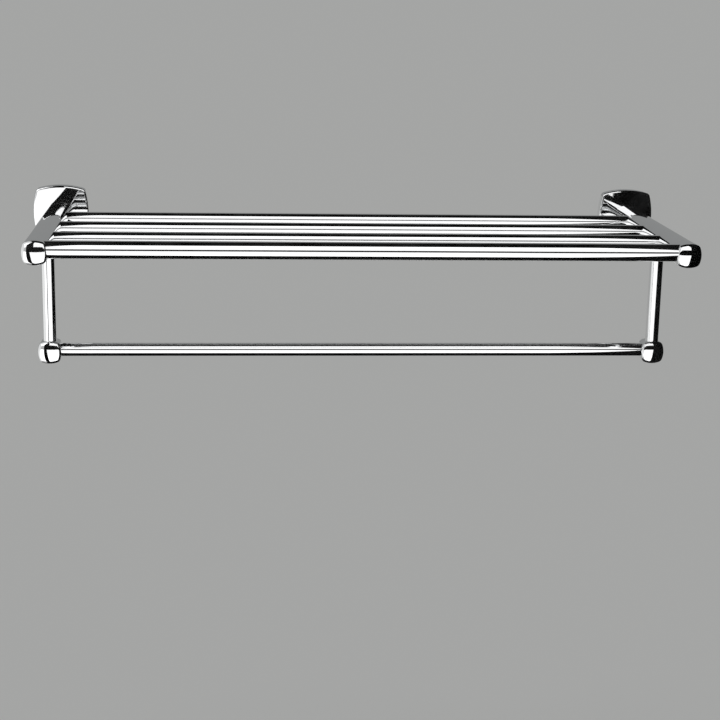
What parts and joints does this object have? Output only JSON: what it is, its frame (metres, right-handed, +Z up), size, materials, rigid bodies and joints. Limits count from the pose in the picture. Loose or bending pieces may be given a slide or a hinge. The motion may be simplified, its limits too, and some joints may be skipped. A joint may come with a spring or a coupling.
{
  "type": "towel rack",
  "caption": "Wall-mounted chrome towel shelf: soft square brackets carry round shelf bars, a thicker front rail and a towel bar on drop posts below.",
  "frame": {"origin": "on the wall plane, midway between the two brackets, at the height of the arms' centre lines", "axes": "+X to the right along the bars, +Y into the wall, +Z up"},
  "size_m": [0.631, 0.2492, 0.15],
  "materials": {
    "chrome_tube": "polished",
    "chrome_casting": "polished",
    "plated_steel": "satin",
    "zinc_steel": "satin",
    "bare_brass": "satin"
  },
  "bodies": {
    "root": {"left_wall_plate": "plated_steel", "left_wall_flange": "chrome_casting", "left_side_arm": "chrome_tube", "left_arm_rear_plug": "bare_brass", "left_end_block": "chrome_casting", "left_drop_post": "chrome_tube", "left_post_nut_block": "bare_brass", "left_tie_rod": "zinc_steel", "left_lower_knob": "chrome_casting", "right_wall_plate": "plated_steel", "right_wall_flange": "chrome_casting", "right_side_arm": "chrome_tube", "right_arm_rear_plug": "bare_brass", "right_end_block": "chrome_casting", "right_drop_post": "chrome_tube", "right_post_nut_block": "bare_brass", "right_tie_rod": "zinc_steel", "right_lower_knob": "chrome_casting", "rear_shelf_bar": "chrome_tube", "middle_shelf_bar": "chrome_tube", "front_shelf_bar": "chrome_tube", "front_rail": "chrome_tube", "lower_towel_bar": "chrome_tube", "flange_set_screws": "zinc_steel", "arm_fixing_screws": "zinc_steel", "shelf_bar_set_screws": "zinc_steel", "front_rail_set_screws": "zinc_steel", "towel_bar_set_screws": "zinc_steel"}
  },
  "joints": []
}
